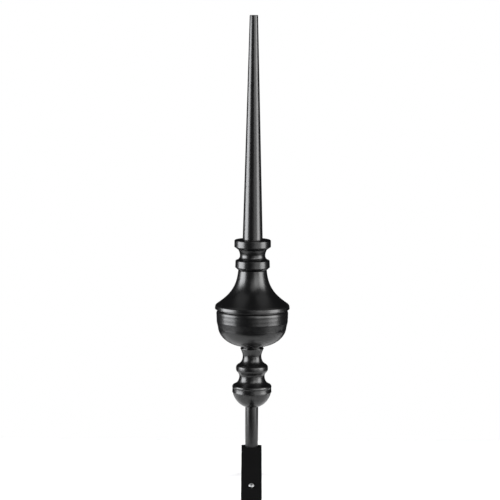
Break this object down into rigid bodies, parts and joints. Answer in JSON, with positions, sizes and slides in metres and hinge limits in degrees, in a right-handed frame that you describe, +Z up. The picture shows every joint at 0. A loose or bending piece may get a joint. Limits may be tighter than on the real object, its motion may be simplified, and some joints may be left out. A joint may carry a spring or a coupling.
{
  "type": "roof finial",
  "caption": "Turned black metal spire over an urn and baluster, on a bent strap that straddles a roof ridge.",
  "frame": {"origin": "centre of the flat underside of the saddle's crown, which sits on the roof ridge", "axes": "+Z up along the spire, X along the ridge, -Y towards the front slope of the roof"},
  "size_m": [0.123, 0.2888, 0.7904],
  "materials": {
    "satin_black": "satin black powder coat over spun and turned metal",
    "matt_black": "matt black paint on flat bar",
    "zinc": "bright zinc plate"
  },
  "bodies": {
    "root": {"saddle": "matt_black", "pole": "satin_black", "cup": "satin_black", "baluster": "satin_black", "bowl": "satin_black", "bell": "satin_black", "collar": "satin_black", "spire": "satin_black", "screw_front": "zinc", "screw_rear": "zinc"}
  },
  "joints": []
}
